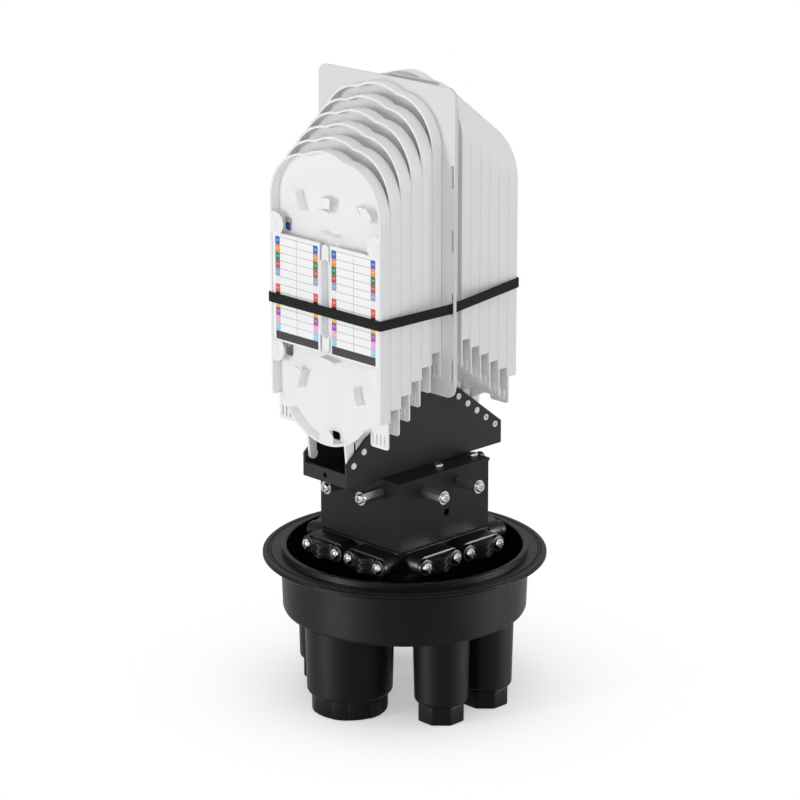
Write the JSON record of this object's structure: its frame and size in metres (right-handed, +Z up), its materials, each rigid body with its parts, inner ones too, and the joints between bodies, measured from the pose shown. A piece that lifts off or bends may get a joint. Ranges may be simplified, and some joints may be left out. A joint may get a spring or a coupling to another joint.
{
  "type": "dome splice closure",
  "caption": "Upright fibre splice closure with its dome off: round base with cable ports, clamps, box, bracket and two stacks of hinged splice trays",
  "frame": {"origin": "on the axis of the base, in the plane that the port nuts stand on", "axes": "+Z up along the base's axis, -Y towards the front stack of trays, +X to its right"},
  "size_m": [0.205, 0.205, 0.4566],
  "materials": {
    "black_plastic": "satin",
    "black_rubber": "matte",
    "black_paint": "satin",
    "grey_paint": "satin",
    "white_plastic": "satin",
    "bright_steel": "polished",
    "dark_steel": "satin",
    "printed_card": "matte",
    "black_fabric": "woven"
  },
  "bodies": {
    "closure": {"base_rim": "black_plastic", "base_floor": "black_plastic", "port_tubes": "black_plastic", "dome_seal_ring": "black_rubber", "port_plugs": "black_rubber", "pedestal": "black_plastic", "clamp_blocks": "black_plastic", "clamp_saddles": "black_plastic", "clamp_screws": "bright_steel", "box_cover": "black_paint", "box_screws": "bright_steel", "standoffs": "dark_steel", "standoff_washers": "bright_steel", "standoff_screws": "bright_steel", "tray_bracket": "black_paint", "hinge_bushes": "white_plastic", "front_plate": "grey_paint", "rear_plate": "grey_paint", "plate_spacers": "bright_steel", "strap": "black_fabric"},
    "port_nut_front": {"port_nut_front": "black_plastic"},
    "port_nut_rear": {"port_nut_rear": "black_plastic"},
    "port_nut_right_front": {"port_nut_right_front": "black_plastic"},
    "port_nut_right_rear": {"port_nut_right_rear": "black_plastic"},
    "port_nut_left_front": {"port_nut_left_front": "black_plastic"},
    "port_nut_left_rear": {"port_nut_left_rear": "black_plastic"},
    "tray_front_1": {"tray_front_1": "white_plastic", "cards_front_1": "printed_card"},
    "tray_front_2": {"tray_front_2": "white_plastic", "cards_front_2": "printed_card"},
    "tray_front_3": {"tray_front_3": "white_plastic", "cards_front_3": "printed_card"},
    "tray_front_4": {"tray_front_4": "white_plastic", "cards_front_4": "printed_card"},
    "tray_front_5": {"tray_front_5": "white_plastic", "cards_front_5": "printed_card"},
    "tray_front_6": {"tray_front_6": "white_plastic", "cards_front_6": "printed_card"},
    "tray_rear_1": {"tray_rear_1": "white_plastic", "cards_rear_1": "printed_card"},
    "tray_rear_2": {"tray_rear_2": "white_plastic", "cards_rear_2": "printed_card"},
    "tray_rear_3": {"tray_rear_3": "white_plastic", "cards_rear_3": "printed_card"},
    "tray_rear_4": {"tray_rear_4": "white_plastic", "cards_rear_4": "printed_card"},
    "tray_rear_5": {"tray_rear_5": "white_plastic", "cards_rear_5": "printed_card"},
    "tray_rear_6": {"tray_rear_6": "white_plastic", "cards_rear_6": "printed_card"}
  },
  "joints": [
    {"name": "port_nut_front_turn", "type": "hinge", "parent": "closure", "child": "port_nut_front", "pos_m": [0, -0.055, 0], "axis": [0, 0, 1], "continuous": true},
    {"name": "port_nut_rear_turn", "type": "hinge", "parent": "closure", "child": "port_nut_rear", "pos_m": [0, 0.055, 0], "axis": [0, 0, 1], "continuous": true},
    {"name": "port_nut_right_front_turn", "type": "hinge", "parent": "closure", "child": "port_nut_right_front", "pos_m": [0.06, -0.0224, 0], "axis": [0, 0, 1], "continuous": true},
    {"name": "port_nut_right_rear_turn", "type": "hinge", "parent": "closure", "child": "port_nut_right_rear", "pos_m": [0.06, 0.0224, 0], "axis": [0, 0, 1], "continuous": true},
    {"name": "port_nut_left_front_turn", "type": "hinge", "parent": "closure", "child": "port_nut_left_front", "pos_m": [-0.06, -0.0224, 0], "axis": [0, 0, 1], "continuous": true},
    {"name": "port_nut_left_rear_turn", "type": "hinge", "parent": "closure", "child": "port_nut_left_rear", "pos_m": [-0.06, 0.0224, 0], "axis": [0, 0, 1], "continuous": true},
    {"name": "tray_front_1_swing", "type": "hinge", "parent": "closure", "child": "tray_front_1", "pos_m": [0, -0.0715, 0.191], "axis": [1, 0, 0], "range_deg": [0, 80], "deforming": ["strap"]},
    {"name": "tray_front_2_swing", "type": "hinge", "parent": "closure", "child": "tray_front_2", "pos_m": [0, -0.0615, 0.1992], "axis": [1, 0, 0], "range_deg": [0, 80]},
    {"name": "tray_front_3_swing", "type": "hinge", "parent": "closure", "child": "tray_front_3", "pos_m": [0, -0.0515, 0.2074], "axis": [1, 0, 0], "range_deg": [0, 80]},
    {"name": "tray_front_4_swing", "type": "hinge", "parent": "closure", "child": "tray_front_4", "pos_m": [0, -0.0415, 0.2156], "axis": [1, 0, 0], "range_deg": [0, 80]},
    {"name": "tray_front_5_swing", "type": "hinge", "parent": "closure", "child": "tray_front_5", "pos_m": [0, -0.0315, 0.2238], "axis": [1, 0, 0], "range_deg": [0, 80]},
    {"name": "tray_front_6_swing", "type": "hinge", "parent": "closure", "child": "tray_front_6", "pos_m": [0, -0.0215, 0.232], "axis": [1, 0, 0], "range_deg": [0, 80]},
    {"name": "tray_rear_1_swing", "type": "hinge", "parent": "closure", "child": "tray_rear_1", "pos_m": [0, 0.0509, 0.2054], "axis": [-1, 0, 0], "range_deg": [0, 70], "deforming": ["strap"]},
    {"name": "tray_rear_2_swing", "type": "hinge", "parent": "closure", "child": "tray_rear_2", "pos_m": [0, 0.0415, 0.2126], "axis": [-1, 0, 0], "range_deg": [0, 70]},
    {"name": "tray_rear_3_swing", "type": "hinge", "parent": "closure", "child": "tray_rear_3", "pos_m": [0, 0.0321, 0.2198], "axis": [-1, 0, 0], "range_deg": [0, 70]},
    {"name": "tray_rear_4_swing", "type": "hinge", "parent": "closure", "child": "tray_rear_4", "pos_m": [0, 0.0227, 0.227], "axis": [-1, 0, 0], "range_deg": [0, 70]},
    {"name": "tray_rear_5_swing", "type": "hinge", "parent": "closure", "child": "tray_rear_5", "pos_m": [0, 0.0133, 0.2342], "axis": [-1, 0, 0], "range_deg": [0, 70]},
    {"name": "tray_rear_6_swing", "type": "hinge", "parent": "closure", "child": "tray_rear_6", "pos_m": [0, 0.0039, 0.2414], "axis": [-1, 0, 0], "range_deg": [0, 70]}
  ],
  "couplings": [
    {"joint": "tray_front_2_swing", "follows": "tray_front_1_swing", "ratio": 1},
    {"joint": "tray_front_3_swing", "follows": "tray_front_1_swing", "ratio": 1},
    {"joint": "tray_front_4_swing", "follows": "tray_front_1_swing", "ratio": 1},
    {"joint": "tray_front_5_swing", "follows": "tray_front_1_swing", "ratio": 1},
    {"joint": "tray_front_6_swing", "follows": "tray_front_1_swing", "ratio": 1},
    {"joint": "tray_rear_2_swing", "follows": "tray_rear_1_swing", "ratio": 1},
    {"joint": "tray_rear_3_swing", "follows": "tray_rear_1_swing", "ratio": 1},
    {"joint": "tray_rear_4_swing", "follows": "tray_rear_1_swing", "ratio": 1},
    {"joint": "tray_rear_5_swing", "follows": "tray_rear_1_swing", "ratio": 1},
    {"joint": "tray_rear_6_swing", "follows": "tray_rear_1_swing", "ratio": 1}
  ]
}
